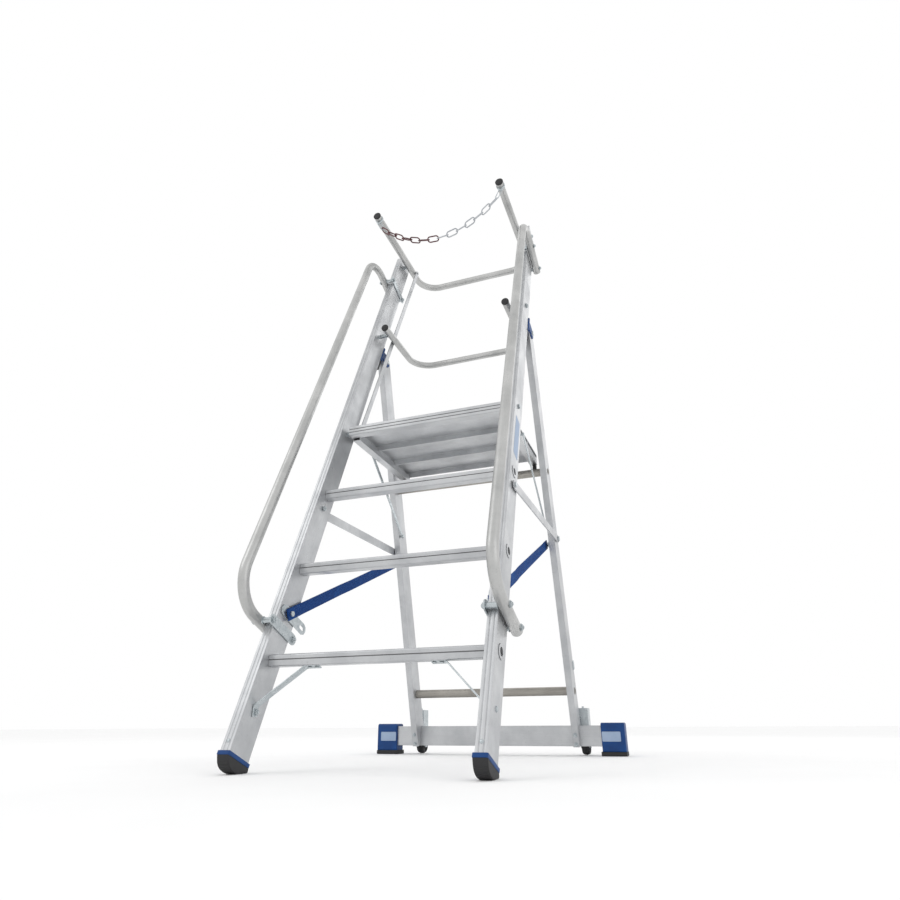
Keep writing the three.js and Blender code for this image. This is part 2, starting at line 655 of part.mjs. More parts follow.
// ---------------------------------------------------------------- access chain, one colour on each half
function chainHalf(side) {
  const points = [];
  for (let k = 0; k <= 10; k += 1) {
    const x = (CHAIN.half * k) / 10;
    const z = CHAIN.hang - CHAIN.sag * (1 - (x / CHAIN.half) ** 2);
    points.push(new THREE.Vector3(side * Math.max(x, 1.5), CHAIN.y, z));
  }
  points.pop();
  points.push(new THREE.Vector3(side * (CHAIN.half - 6), CHAIN.y, CHAIN.hang - 6));
  const path = new THREE.CatmullRomCurve3(points);
  return solid(new THREE.ExtrudeGeometry(circle(CHAIN.radius), { extrudePath: path, steps: 14, curveSegments: 3 }));
}
ladder.add(piece('chain_left', chainHalf(-1), redPlastic), piece('chain_right', chainHalf(1), whitePlastic));

// ---------------------------------------------------------------- side stays, links and straps
function stay(side) {
  const [y, z] = leaning(STAY.pin, STAY.inset);
  const x = span(side, STILE.outer + 2.2, STILE.outer + 2.2 + STAY.thickness);
  const blade = alongX(strip([y, z], [STAY.studY + 2, STAY.studZ], STAY.height / 2), x);
  const mouth = alongX(strip([STAY.studY, STAY.studZ], [STAY.studY, STAY.studZ - 40], PIN + 2),
    span(side, STILE.outer, STILE.outer + 9));
  const bolt = join(
    pinAlongX(span(side, INNER - 8, STILE.outer + 8), y, z, PIN),
    pinAlongX(span(side, STILE.outer + 5, STILE.outer + 10), y, z, 8, 6),
    pinAlongX(span(side, INNER - 7, INNER - 1), y, z, 8, 6),
  );
  return join(cut(blade, mouth), bolt);
}

function link(side) {
  const { legY, legZ, deckY, deckZ, x } = LINK;
  return join(
    alongX(strip([legY, legZ], [deckY, deckZ], 7), span(side, x - 1.5, x + 1.5), 0, 4),
    pinAlongX(span(side, PLATFORM.half + 0.6, x + 3), deckY, deckZ, PIN + 1),
    pinAlongX(span(side, x - 5, LEG.outer - 1), legY, legZ, PIN),
    pinAlongX(span(side, x - 5, x), legY, legZ, 7, 6),
  );
}

function strapParts(side) {
  const [y, z] = leaning(STRAP.s, STRAP.d);
  const angle = Math.atan2(STRAP.rearZ - z, STRAP.rearY - y);
  const whole = Math.hypot(STRAP.rearZ - z, STRAP.rearY - y);
  const half = STRAP.width / 2;
  const flat = (from, to, x) => alongX(
    polygon([[from, -half], [to, -half], [to, half], [from, half]]),
    span(side, x - STRAP.thickness / 2, x + STRAP.thickness / 2),
  ).rotate([THREE.MathUtils.radToDeg(angle), 0, 0]).translate([0, y, z]);
  const pinHole = pinAlongX([side * STRAP.x - 5, side * STRAP.x + 5], y, z, PIN + 0.4);
  return {
    front: cut(flat(-12, STRAP.knee, STRAP.x), pinHole),
    rear: flat(STRAP.knee, whole + 12, STRAP.x - STRAP.thickness - GAP),
  };
}

for (const side of SIDES) {
  const name = sideName(side);
  const strap = strapParts(side);
  ladder.add(
    piece(`side_stay_${name}`, stay(side), aluminium),
    piece(`platform_link_${name}`, link(side), galvanised),
    piece(`strap_front_${name}`, strap.front, blueWebbing),
    piece(`strap_rear_${name}`, strap.rear, blueWebbing),
  );
}

export default ladder;
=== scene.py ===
"""Looks for the folding platform ladder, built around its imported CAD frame.

Lengths are in metres. The CAD was drawn from the line where the stiles' front faces meet the floor,
and then moved forward by MIDDLE; floor_point() and leaning() make the same move.
"""
import math

import bmesh
import bpy
from mathutils import Matrix, Vector


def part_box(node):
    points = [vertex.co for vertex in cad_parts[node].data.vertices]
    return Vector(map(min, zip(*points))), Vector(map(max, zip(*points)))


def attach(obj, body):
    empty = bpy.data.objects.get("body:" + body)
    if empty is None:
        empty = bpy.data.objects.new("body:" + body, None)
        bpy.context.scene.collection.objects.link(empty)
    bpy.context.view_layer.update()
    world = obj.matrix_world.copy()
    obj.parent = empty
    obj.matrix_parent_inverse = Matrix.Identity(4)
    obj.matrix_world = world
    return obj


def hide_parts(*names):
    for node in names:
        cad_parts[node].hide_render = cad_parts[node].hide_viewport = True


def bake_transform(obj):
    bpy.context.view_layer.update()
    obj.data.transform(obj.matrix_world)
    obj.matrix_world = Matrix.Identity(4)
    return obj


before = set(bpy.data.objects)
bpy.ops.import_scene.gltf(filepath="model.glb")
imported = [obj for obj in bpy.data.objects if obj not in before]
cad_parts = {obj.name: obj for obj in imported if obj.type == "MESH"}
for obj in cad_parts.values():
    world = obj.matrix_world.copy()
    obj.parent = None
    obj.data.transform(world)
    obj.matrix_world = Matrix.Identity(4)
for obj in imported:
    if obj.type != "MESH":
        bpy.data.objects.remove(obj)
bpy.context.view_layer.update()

# ---------------------------------------------------------------- driving dimensions
LEAN = math.radians(22.44)
REAR_LEAN = math.radians(16.67)
MIDDLE = 0.61725
GAP = 0.0003
OUTER = 0.298  # outer faces of the stiles and of the rear legs
INNER = 0.273  # inner faces of the stiles
LEG_INNER = 0.276
STILE_DEPTH = 0.076
HANDRAIL = {"x": 0.313, "radius": 0.014, "front": -0.127, "rear": 0.104, "bottom": 0.358, "top": 1.955,
            "bend": 0.095}
CLAMP_BOLTS = (-0.011, 0.087)
TOP_BOW = {"half": 0.251, "radius": 0.014, "front": 0.528, "rear": 1.032, "bend": 0.084, "pivot": 2.138}
KNEE_BOW = {"half": 0.234, "radius": 0.0125, "front": 0.602, "rear": 0.916, "bend": 0.084, "pivot": 1.614}
PIVOT_INSET = 0.036
HINGE_S, HINGE_D = 1.562, 0.122
STRAP = {"s": 0.403, "d": 0.039, "y": 0.920, "z": 0.671, "knee": 0.300, "width": 0.030, "x": 0.266,
         "rear_x": 0.2633, "thick": 0.0022}
CHAIN = {"half": 0.240, "y": 0.545, "hang": 1.912, "sag": 0.122, "links": 14, "wire": 0.0024}
CASTOR = {"x": 0.303, "y": 1.190, "z": 0.0305, "radius": 0.030, "half": 0.0125}
RUNGS = [0.275 + 0.2635 * i for i in range(3)]
RUNG = {"inset": 0.040, "half_depth": 0.016, "half_height": 0.014}
LABEL = {"s": 0.936, "d": 0.040, "width": 0.040, "length": 0.150}
SHARP = math.radians(38)  # edges sharper than this stay sharp, and get a bevel
SIDES = {"left": -1, "right": 1}

ALONG = Vector((0, math.sin(LEAN), math.cos(LEAN)))
INTO = Vector((0, math.cos(LEAN), -math.sin(LEAN)))
X = Vector((1, 0, 0))
Z = Vector((0, 0, 1))


def floor_point(x, y, z):
    return Vector((x, y - MIDDLE, z))


def leaning(x, s, d):
    """A point s along the stiles and d behind their front faces."""
    return floor_point(x, 0, 0) + ALONG * s + INTO * d


HINGE = leaning(0, HINGE_S, HINGE_D)
DOWN_LEG = Vector((0, math.sin(REAR_LEAN), -math.cos(REAR_LEAN)))
BEHIND_LEG = Vector((0, math.cos(REAR_LEAN), math.sin(REAR_LEAN)))


def on_leg(x, down, behind):
    """A point down the rear legs from their pivot, and behind their middle."""
    return Vector((x, HINGE.y, HINGE.z)) + DOWN_LEG * down + BEHIND_LEG * behind


# ---------------------------------------------------------------- camera
def make_camera():
    eye = Vector((0.6705, -1.8426, 0.0944))
    yaw, pitch, roll = -0.3459, 0.3998, -0.0046
    ahead = Vector((math.sin(yaw) * math.cos(pitch), math.cos(yaw) * math.cos(pitch), math.sin(pitch)))
    level = Vector((math.cos(yaw), -math.sin(yaw), 0))
    above = level.cross(ahead)
    right = level * math.cos(roll) + above * math.sin(roll)
    up = above * math.cos(roll) - level * math.sin(roll)
    camera = bpy.data.objects.new("camera", bpy.data.cameras.new("camera"))
    bpy.context.scene.collection.objects.link(camera)
    camera.matrix_world = Matrix.Translation(eye) @ Matrix((right, up, -ahead)).transposed().to_4x4()
    camera.data.sensor_width = 36
    camera.data.lens = 25.455
    camera.data.shift_x = 0.0033
    camera.data.shift_y = 0.0073
    camera.data.clip_start = 0.05
    bpy.context.scene.camera = camera


# ---------------------------------------------------------------- materials
class Nodes:
    """A material's node tree, with short calls for the nodes used here."""

    def __init__(self, name):
        self.material = bpy.data.materials.new(name)
        self.material.use_nodes = True
        self.tree = self.material.node_tree
        self.shader = self.tree.nodes["Principled BSDF"]
        self.coords = self.tree.nodes.new("ShaderNodeTexCoord").outputs["Object"]

    def add(self, kind, inputs=None, **settings):
        node = self.tree.nodes.new("ShaderNode" + kind)
        for key, value in settings.items():
            setattr(node, key, value)
        for key, value in (inputs or {}).items():
            if isinstance(value, bpy.types.NodeSocket):
                self.tree.links.new(value, node.inputs[key])
            else:
                node.inputs[key].default_value = value
        return node

    def turned(self, angle, scale):
        """Object coordinates turned about X, so that Z runs along a leaning piece, then scaled."""
        spin = self.add("Mapping", {"Vector": self.coords, "Rotation": (angle, 0, 0)})
        return self.add("Mapping", {"Vector": spin.outputs[0], "Scale": scale}).outputs[0]

    def noise(self, vector, scale, detail=4.0, rough=0.55):
        inputs = {"Vector": vector, "Scale": scale, "Detail": detail, "Roughness": rough}
        return self.add("TexNoise", inputs).outputs["Fac"]

    def between(self, value, low, high, start=0.3, end=0.7):
        inputs = {"Value": value, "From Min": start, "From Max": end, "To Min": low, "To Max": high}
        return self.add("MapRange", inputs).outputs["Result"]

    def mix(self, factor, first, second, blend="MIX"):
        node = self.add("Mix", data_type="RGBA", blend_type=blend)
        for socket, value in ((node.inputs[0], factor), (node.inputs[6], first), (node.inputs[7], second)):
            if isinstance(value, bpy.types.NodeSocket):
                self.tree.links.new(value, socket)
            else:
                socket.default_value = value if isinstance(value, float) else (*value, 1)
        return node.outputs[2]

    def plus(self, first, second, operation="ADD"):
        return self.add("Math", {0: first, 1: second}, operation=operation).outputs[0]

    def bump(self, height, strength, distance):
        inputs = {"Height": height, "Strength": strength, "Distance": distance}
        self.tree.links.new(self.add("Bump", inputs).outputs[0], self.shader.inputs["Normal"])

    def put(self, **sockets):
        for key, value in sockets.items():
            socket = self.shader.inputs[key.replace("_", " ")]
            if isinstance(value, bpy.types.NodeSocket):
                self.tree.links.new(value, socket)
            elif isinstance(value, tuple):
                socket.default_value = (*value, 1)
            else:
                socket.default_value = value
        return self.material


def metal(name, light, dark, roughness, angle=0.0, streak=(900, 900, 14), mottle=9.0, metallic=0.8):
    """Drawn or rolled metal: cloudy patches, fine lines along the piece and small rubbed marks."""
    n = Nodes(name)
    clouds = n.noise(n.coords, mottle, 6.0, 0.62)
    lines = n.noise(n.turned(angle, streak), 1.0, 3.0)
    specks = n.noise(n.coords, 160.0, 2.0, 0.7)
    colour = n.mix(n.between(clouds, 0.0, 1.0), dark, light)
    colour = n.mix(n.between(lines, 0.0, 0.35), colour, dark)
    colour = n.mix(n.between(specks, 0.0, 0.5, 0.62, 0.78), colour, tuple(0.8 * c for c in dark))
    rough = n.plus(n.between(clouds, roughness + 0.07, roughness - 0.07), n.between(lines, -0.05, 0.05))
    n.bump(n.plus(lines, specks), 0.12, 0.0004)
    return n.put(Base_Color=colour, Roughness=rough, Metallic=metallic)


def moulded(name, light, dark, roughness, grain=700.0, depth=0.0002, **extra):
    """Moulded plastic or rubber with a fine grain and slightly uneven gloss."""
    n = Nodes(name)
    clouds = n.noise(n.coords, 22.0, 5.0)
    fine = n.noise(n.coords, grain, 3.0)
    colour = n.mix(n.between(clouds, 0.0, 1.0), dark, light)
    rough = n.plus(n.between(clouds, roughness - 0.06, roughness + 0.06), n.between(fine, -0.04, 0.04))
    n.bump(fine, 0.35, depth)
    return n.put(Base_Color=colour, Roughness=rough, **extra)


def zinc(name):
    """Galvanised steel: large pale crystals in a bluish grey."""
    n = Nodes(name)
    cells = n.add("TexVoronoi", {"Vector": n.coords, "Scale": 130.0})
    shade = n.add("SeparateColor", {"Color": cells.outputs["Color"]}).outputs[0]
    clouds = n.noise(n.coords, 30.0, 5.0)
    colour = n.mix(n.between(shade, 0.0, 0.55, 0.0, 1.0), (0.50, 0.54, 0.56), (0.30, 0.34, 0.36))
    colour = n.mix(n.between(clouds, 0.0, 0.4), colour, (0.62, 0.66, 0.67))
    rough = n.plus(n.between(shade, 0.24, 0.42, 0.0, 1.0), n.between(clouds, -0.05, 0.05))
    n.bump(n.plus(shade, clouds), 0.15, 0.0003)
    return n.put(Base_Color=colour, Roughness=rough, Metallic=0.9)


def woven(name, angle):
    """Webbing: ribs across the strap and fine yarns along it."""
    n = Nodes(name)
    flat = n.turned(angle, (1, 1, 1))
    across = n.add("TexWave", {"Vector": flat, "Scale": 420.0, "Distortion": 0.4}, bands_direction="Y")
    along = n.add("TexWave", {"Vector": flat, "Scale": 260.0, "Distortion": 0.3}, bands_direction="Z")
    fuzz = n.noise(n.coords, 900.0, 3.0)
    weave = n.plus(across.outputs["Fac"], along.outputs["Fac"], "MULTIPLY")
    wear_and_shade = n.noise(n.coords, 25.0, 5.0)
    colour = n.mix(n.between(weave, 0.0, 1.0, 0.1, 0.8), (0.004, 0.032, 0.150), (0.010, 0.096, 0.360))
    colour = n.mix(n.between(wear_and_shade, 0.0, 0.35, 0.5, 0.75), colour, (0.015, 0.120, 0.40))
    n.bump(n.plus(weave, fuzz), 0.6, 0.0005)
    rough = n.between(fuzz, 0.72, 0.92)
    return n.put(Base_Color=colour, Roughness=rough, Specular_IOR_Level=0.25)


PALE = (0.60, 0.61, 0.62)
SHADE = (0.43, 0.44, 0.455)
FINISH = {
    "stile": metal("aluminium_stile", PALE, SHADE, 0.36, LEAN),
    "leg": metal("aluminium_leg", PALE, SHADE, 0.38, -REAR_LEAN),
    "across": metal("aluminium_across", PALE, SHADE, 0.36, 0.0, (14, 900, 900)),
    "tube": metal("aluminium_tube", (0.58, 0.58, 0.572), (0.40, 0.405, 0.40), 0.34, LEAN, (500, 500, 30)),
    # painted light: the deck aluminium is paler than the rest, standing in for light bounced onto the
    # platform's underside
    "deck": metal("aluminium_deck_painted_light", (0.66, 0.67, 0.68), (0.46, 0.47, 0.485), 0.42, 0.0, (12, 900, 900)),
    # painted shade: dark aluminium on the faces inside the grooves of the rungs and the front profile,
    # standing in for the shade in them
    "groove_shade": metal("aluminium_painted_groove_shade", (0.24, 0.24, 0.245), (0.15, 0.15, 0.155), 0.5, 0.0, (14, 900, 900)),
    # painted shade: darker brownish aluminium for the rear rungs, standing in for the shade they sit in
    "wear_and_shade": metal("aluminium_rear_rung_painted_shade", (0.44, 0.42, 0.385), (0.29, 0.275, 0.25), 0.45, 0.0, (20, 700, 700)),
    "zinc": zinc("galvanised_steel"),
    "rubber": moulded("black_rubber", (0.020, 0.020, 0.022), (0.010, 0.010, 0.011), 0.62),
    "blue": moulded("blue_plastic", (0.004, 0.056, 0.215), (0.003, 0.036, 0.150), 0.46,
                    Specular_IOR_Level=0.3),
    "label": moulded("pale_label", (0.33, 0.42, 0.56), (0.26, 0.35, 0.50), 0.5),
    "red": moulded("red_chain", (0.090, 0.008, 0.012), (0.050, 0.004, 0.006), 0.34, Coat_Weight=0.2),
    "white": moulded("white_chain", (0.50, 0.52, 0.54), (0.36, 0.38, 0.41), 0.40),
    "thread": moulded("blue_thread", (0.06, 0.14, 0.40), (0.03, 0.08, 0.28), 0.8),
}


# ---------------------------------------------------------------- mesh building
class Shape:
    """Simple forms collected into one mesh. Each form has the number of its material."""

    def __init__(self):
        self.points = []
        self.faces = []
        self.paint = []

    def loft(self, rings, paint=0, loop=False):
        """Joins rings of points by quads, and closes the two ends unless the rings form a loop."""
        first = len(self.points)
        size = len(rings[0])
        self.points += [tuple(p) for ring in rings for p in ring]
        faces = []
        for i in range(len(rings) if loop else len(rings) - 1):
            a = first + i * size
            b = first + (i + 1) % len(rings) * size
            for j in range(size):
                k = (j + 1) % size
                faces.append((a + j, a + k, b + k, b + j))
        if not loop:
            faces.append(tuple(first + j for j in reversed(range(size))))
            faces.append(tuple(first + (len(rings) - 1) * size + j for j in range(size)))
        self.faces += faces
        self.paint += [paint] * len(faces)

    def sweep(self, path, section, side=X, paint=0, loop=False):
        """Carries a flat outline along a path. side is the direction of the outline's first axis."""
        rings = []
        count = len(path)
        across = Vector(side)
        for i, point in enumerate(path):
            before = path[i - 1] if loop or i else path[0]
            after = path[(i + 1) % count] if loop or i < count - 1 else path[-1]
            ahead = (after - before).normalized()
            across = (across - ahead * across.dot(ahead)).normalized()
            up = ahead.cross(across)
            rings.append([point + across * a + up * b for a, b in section])
        self.loft(rings, paint, loop)

    def turn(self, base, axis, profile, facets=32, paint=0):
        """A turned form: profile lists (distance along the axis, radius)."""
        axis = Vector(axis).normalized()
        across = axis.orthogonal().normalized()
        up = axis.cross(across)
        angles = [2 * math.pi * i / facets for i in range(facets)]
        spokes = [across * math.cos(t) + up * math.sin(t) for t in angles]
        self.loft([[base + axis * h + spoke * r for spoke in spokes] for h, r in profile], paint)

    def nut(self, base, axis, radius=0.0075, height=0.006, paint=0):
        """A washer, a chamfered hexagon and the rounded end of its thread."""
        axis = Vector(axis).normalized()
        washer = radius * 1.28
        self.turn(base, axis, [(0, washer), (0.0010, washer), (0.0013, washer * 0.97)], 32, paint)
        hexagon = [(0.0013, radius * 0.93), (0.002, radius), (height - 0.0012, radius),
                   (height, radius * 0.88)]
        self.turn(base, axis, hexagon, 6, paint)
        end = radius * 0.5
        thread = [(height, end), (height + 0.0016, end), (height + 0.0024, end * 0.8)]
        self.turn(base, axis, thread, 20, paint)

    def plate(self, outline, low, high, paint=0):
        """An outline of points in the plane X = 0, made solid between two X values."""
        self.loft([[Vector((x, p.y, p.z)) for p in outline] for x in (low, high)], paint)


def circle(radius, facets=32):
    angles = [2 * math.pi * i / facets for i in range(facets)]
    return [(radius * math.cos(t), radius * math.sin(t)) for t in angles]


def rounded(width, height, radius, steps=4):
    """A rectangle with round corners, about the origin."""
    points = []
    for quarter, (sx, sy) in enumerate(((1, 1), (-1, 1), (-1, -1), (1, -1))):
        for i in range(steps + 1):
            t = math.pi / 2 * (quarter + i / steps)
            points.append((sx * (width / 2 - radius) + radius * math.cos(t),
                           sy * (height / 2 - radius) + radius * math.sin(t)))
    return points


def stadium(start, end, half, steps=12):
    """The outline, in Y and Z, of a strip with round ends between two points."""
    run = end - start
    heading = math.atan2(run.z, run.y)
    points = []
    for centre, first in ((start, heading + math.pi / 2), (end, heading - math.pi / 2)):
        for i in range(steps + 1):
            t = first + math.pi * i / steps
            points.append(centre + Vector((0, half * math.cos(t), half * math.sin(t))))
    return points


def bent(corners, bend, steps=14):
    """Straight runs joined by round bends."""
    path = [corners[0]]
    for before, corner, after in zip(corners, corners[1:], corners[2:]):
        into = (corner - before).normalized()
        out = (after - corner).normalized()
        turn = into.angle(out)
        inward = (out - into * into.dot(out)).normalized()
        start = corner - into * bend * math.tan(turn / 2)
        for i in range(steps + 1):
            t = turn * i / steps
            path.append(start + into * bend * math.sin(t) + inward * bend * (1 - math.cos(t)))
    path.append(corners[-1])
    return path


def finish_edges(obj, width, weld=False):
    """Rounds the sharp edges and keeps the flat faces flat."""
    if weld:
        merge = obj.modifiers.new("weld", "WELD")
        merge.merge_threshold = 0.00002
    edge = obj.modifiers.new("edges", "BEVEL")
    edge.width = width
    edge.segments = 2
    edge.limit_method = "ANGLE"
    edge.angle_limit = SHARP
    edge.use_clamp_overlap = not weld
    shading = obj.modifiers.new("shading", "WEIGHTED_NORMAL")
    shading.weight = 60


def piece(name, shape, body, finishes, replaces=(), bevel=0.0):
    mesh = bpy.data.meshes.new(name)
    mesh.from_pydata(shape.points, [], shape.faces)
    mesh.polygons.foreach_set("material_index", shape.paint)
    for key in finishes:
        mesh.materials.append(FINISH[key])
    work = bmesh.new()
    work.from_mesh(mesh)
    bmesh.ops.recalc_face_normals(work, faces=work.faces)
    for face in work.faces:
        face.smooth = True
    work.to_mesh(mesh)
    work.free()
    mesh.set_sharp_from_angle(angle=SHARP)
    obj = bpy.data.objects.new(name, mesh)
    bpy.context.scene.collection.objects.link(obj)
    if bevel:
        finish_edges(obj, bevel)
    if body:
        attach(obj, body)
    if replaces:
        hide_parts(*replaces)
    return obj


# ---------------------------------------------------------------- CAD nodes that stay
def dress(node, finishes, choose=None, bevel=0.0007):
    """Gives a CAD node its materials and fine edges. choose(centre) picks the material of a face."""
    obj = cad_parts[node]
    mesh = obj.data
    custom = mesh.attributes.get("custom_normal")
    if custom:
        mesh.attributes.remove(custom)
    mesh.materials.clear()
    for key in finishes:
        mesh.materials.append(FINISH[key])
    for face in mesh.polygons:
        face.use_smooth = True
        face.material_index = choose(face.center) if choose else 0
    finish_edges(obj, bevel, weld=True)


def outside(low, high):
    """Picks material 1 for faces whose distance from the middle plane is outside two values."""
    return lambda centre: int(not low < abs(centre.x) < high)


def hinge_paint(centre):
    """0 blue casting, 1 black buffer under it, 2 steel nuts at the ends of its pivot."""
    if not INNER - 0.003 < abs(centre.x) < OUTER + 0.0045:
        return 2
    return int((centre - leaning(centre.x, 0, 0)).dot(ALONG) < HINGE_S - 0.0385)


def groove_shade_faces(front, low, high):
    """Picks material 1, painted shade, for the walls and floor of a groove cut into a front face."""
    return lambda centre: int(0.0002 < centre.y - front < 0.0015 and low < centre.z < high)


def profile_paint():
    """0 aluminium, 1 painted shade in the groove, 2 steel at the ends of the platform's front profile."""
    low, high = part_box("platform_front_profile")
    groove_shade = groove_shade_faces(low.y, low.z + 0.005, high.z - 0.005)
    return lambda centre: 2 if abs(centre.x) > 0.2595 else groove_shade(centre)


def dress_frame():
    for side in SIDES:
        dress(f"stile_{side}", ["stile"])
        dress(f"strap_bracket_{side}", ["zinc"])
        dress(f"hinge_bracket_{side}", ["blue", "rubber", "zinc"], hinge_paint, 0.001)
        dress(f"rear_leg_{side}", ["leg", "zinc"], outside(LEG_INNER - 0.0005, OUTER + 0.0005))
        dress(f"castor_housing_{side}", ["zinc"], bevel=0.0005)
        dress(f"castor_fork_{side}", ["zinc"], bevel=0.0004)
        # platform rails, planks and deck ribs take the paler deck aluminium, which carries painted light
        dress(f"platform_rail_{side}", ["deck"], bevel=0.0004)
        dress(f"platform_pad_{side}", ["rubber"])
        dress(f"rail_strut_{side}", ["leg"], bevel=0.0004)
        dress(f"side_stay_{side}", ["leg", "zinc"], outside(OUTER + 0.0021, OUTER + 0.0063), 0.0004)
        dress(f"platform_link_{side}", ["zinc"], bevel=0.0004)
    for i in range(3):
        middle = leaning(0, RUNGS[i], RUNG["inset"])
        # the groove faces of each rung get painted shade
        groove_shade = groove_shade_faces(middle.y - RUNG["half_depth"], middle.z, middle.z + 0.004)
        dress(f"rung_{i + 1}", ["across", "groove_shade"], groove_shade)
        dress(f"platform_plank_{i + 1}", ["deck"], bevel=0.0005)
    # both rear rungs get the darker aluminium of painted shade
    dress("rear_rung_1", ["wear_and_shade"])
    dress("rear_rung_2", ["wear_and_shade"])
    dress("traverse", ["across"], bevel=0.0012)
    dress("platform_front_profile", ["across", "groove_shade", "zinc"], profile_paint())


# ---------------------------------------------------------------- rails
def handrail(side, sign):
    x = sign * HANDRAIL["x"]
    ends = (("bottom", "rear"), ("bottom", "front"), ("top", "front"), ("top", "rear"))
    corners = [leaning(x, HANDRAIL[s], HANDRAIL[d]) for s, d in ends]
    shape = Shape()
    shape.sweep(bent(corners, HANDRAIL["bend"]), circle(HANDRAIL["radius"], 36))
    piece(f"handrail_tube_{side}", shape, "front_frame", ["tube"], [f"handrail_{side}"], 0.0012)


def clamp(side, sign, place):
    """Inner plate, spacer sleeves and the two bolts through one end of a hand rail."""
    s = HANDRAIL[place]
    shape = Shape()
    plate = stadium(leaning(0, s, CLAMP_BOLTS[0]), leaning(0, s, CLAMP_BOLTS[1]), 0.014)
    shape.plate(plate, sign * (INNER - 0.0035), sign * (INNER - GAP))
    tube = HANDRAIL["x"] - HANDRAIL["radius"]
    out = X * sign
    for d in CLAMP_BOLTS:
        sleeve = tube - INNER + 0.002
        shape.turn(leaning(sign * (INNER - 0.001), s, d), out, [(0, 0.007), (sleeve, 0.007)], 28)
        shape.turn(leaning(sign * tube, s, d), out, [(-0.0012, 0.0095), (0.0006, 0.0095)], 28)
        shape.nut(leaning(sign * (INNER - 0.0035), s, d), -out)
        shape.nut(leaning(sign * (HANDRAIL["x"] + HANDRAIL["radius"] - 0.0006), s, d), out, 0.007, 0.005)
    piece(f"handrail_clamp_{place}_steel_{side}", shape, "front_frame", ["zinc"],
          [f"handrail_clamp_{place}_{side}"], 0.0005)


def bow(name, size):
    """A guard rail or knee rail bow with its black end caps and its pivots."""
    pivot = leaning(0, size["pivot"], PIVOT_INSET)
    ends = ((-1, "front"), (-1, "rear"), (1, "rear"), (1, "front"))
    corners = [floor_point(sign * size["half"], size[end], pivot.z) for sign, end in ends]
    shape = Shape()
    shape.sweep(bent(corners, size["bend"]), circle(size["radius"], 36))
    piece(f"{name}_tube", shape, name, ["tube"], [name], 0.001)
    pivots = Shape()
    for side, sign in SIDES.items():
        out = X * sign
        centre = Vector((0, pivot.y, pivot.z))
        near = size["half"] + size["radius"] - 0.003
        length = INNER - GAP - near
        pivots.turn(centre + out * near, out, [(0, 0.0075), (length, 0.0075)], 28)
        pivots.nut(centre + out * (OUTER + GAP), out, 0.008, 0.006)
        cap = Shape()
        r = size["radius"]
        profile = [(0, r + 0.001), (0.0042, r + 0.001), (0.0056, r - 0.0004), (0.0062, r - 0.004),
                   (0.0064, r - 0.008)]
        cap.turn(floor_point(sign * size["half"], size["front"] - GAP, pivot.z), (0, -1, 0), profile, 36)
        piece(f"{name}_plug_{side}", cap, name, ["rubber"], [f"{name}_cap_{side}"])
    piece(f"{name}_pivots", pivots, name, ["zinc"], bevel=0.0004)


# ---------------------------------------------------------------- chain
def chain_height(x):
    return CHAIN["hang"] - CHAIN["sag"] * (1 - (x / CHAIN["half"]) ** 2)


def chain_places():
    """Points at equal distances along the hanging curve, from left to right, one at each joint of links."""
    fine = 600
    reach = CHAIN["half"] - 0.006
    xs = [reach * (2 * i / fine - 1) for i in range(fine + 1)]
    line = [floor_point(x, CHAIN["y"], chain_height(x)) for x in xs]
    run = [0.0]
    for a, b in zip(line, line[1:]):
        run.append(run[-1] + (b - a).length)
    marks = [run[-1] * i / CHAIN["links"] for i in range(CHAIN["links"] + 1)]
    return [line[min(range(fine + 1), key=lambda i: abs(run[i] - mark))] for mark in marks]


def link_path(centre, ahead, across, long, wide):
    """The middle line of one oval link."""
    points = []
    for i in range(32):
        t = 2 * math.pi * i / 32
        straight = (long - wide) * (1 if math.cos(t) > 0 else -1)
        points.append(centre + ahead * (straight + wide * math.cos(t)) + across * wide * math.sin(t))
    return points


def chain():
    places = chain_places()
    wire = CHAIN["wire"]
    halves = {"left": Shape(), "right": Shape()}
    for i, (a, b) in enumerate(zip(places, places[1:])):
        ahead = (b - a).normalized()
        facing = Vector((0, -1, 1)).normalized()
        across = facing if i % 2 == 0 else ahead.cross(facing)
        half = (b - a).length / 2 + wire
        path = link_path((a + b) / 2, ahead, across, half, 0.0098)
        side = "left" if i < CHAIN["links"] // 2 else "right"
        halves[side].sweep(path, circle(wire, 12), ahead.cross(across), loop=True)
    for side, colour in (("left", "red"), ("right", "white")):
        piece(f"chain_links_{side}", halves[side], "chain", [colour], [f"chain_{side}"])
    for side, sign in SIDES.items():
        chain_hook(side, sign)


